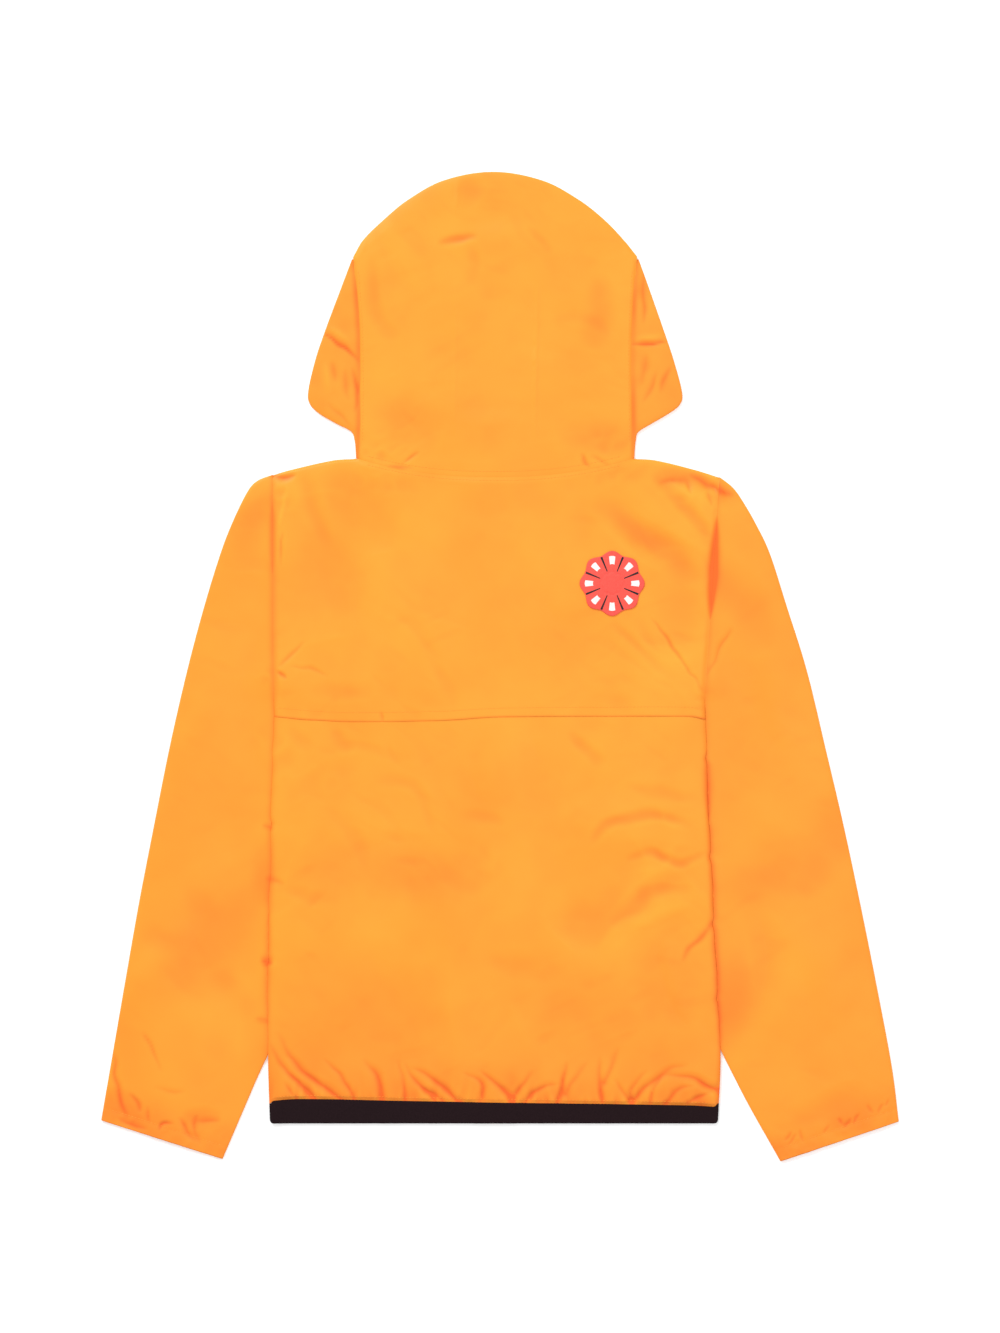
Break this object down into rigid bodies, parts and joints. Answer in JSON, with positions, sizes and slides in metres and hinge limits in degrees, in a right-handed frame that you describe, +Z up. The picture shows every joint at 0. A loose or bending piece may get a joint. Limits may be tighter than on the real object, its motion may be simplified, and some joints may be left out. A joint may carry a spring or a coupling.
{
  "type": "rain jacket",
  "caption": "Hooded rain jacket of thin nylon, zipped up and laid flat on its front, with a loose yoke edge across the back, a gathered dark knit hem band and a round patch.",
  "frame": {"origin": "centre of the bounding box in plan, on the surface that the jacket lies on", "axes": "+Z up from the surface, out of the jacket's back; +Y from the hem to the crown of the hood; +X from the wearer's left sleeve to the right one"},
  "size_m": [0.798, 0.99, 0.0087],
  "materials": {
    "nylon": "smooth light sheen",
    "hem_knit": "matt ribbed knit",
    "zip_tape": "matt woven tape",
    "zip_metal": "dark satin",
    "patch_thread": "embroidered"
  },
  "bodies": {
    "jacket": {"back_yoke": "nylon", "back_lower": "nylon", "front_left": "nylon", "front_right": "nylon", "sleeve_left": "nylon", "sleeve_right": "nylon", "hood_back": "nylon", "hood_side_left": "nylon", "hood_side_right": "nylon", "hem_band": "hem_knit", "zip_left": "zip_tape", "zip_right": "zip_tape", "zip_slider": "zip_metal", "patch": "patch_thread"},
    "zip_pull": {"zip_pull": "zip_metal"}
  },
  "joints": [
    {"name": "zip_pull_swing", "type": "hinge", "parent": "jacket", "child": "zip_pull", "pos_m": [-0.005, 0.2256, 0.0011], "axis": [1, 0, 0], "range_deg": [0, 180]}
  ]
}
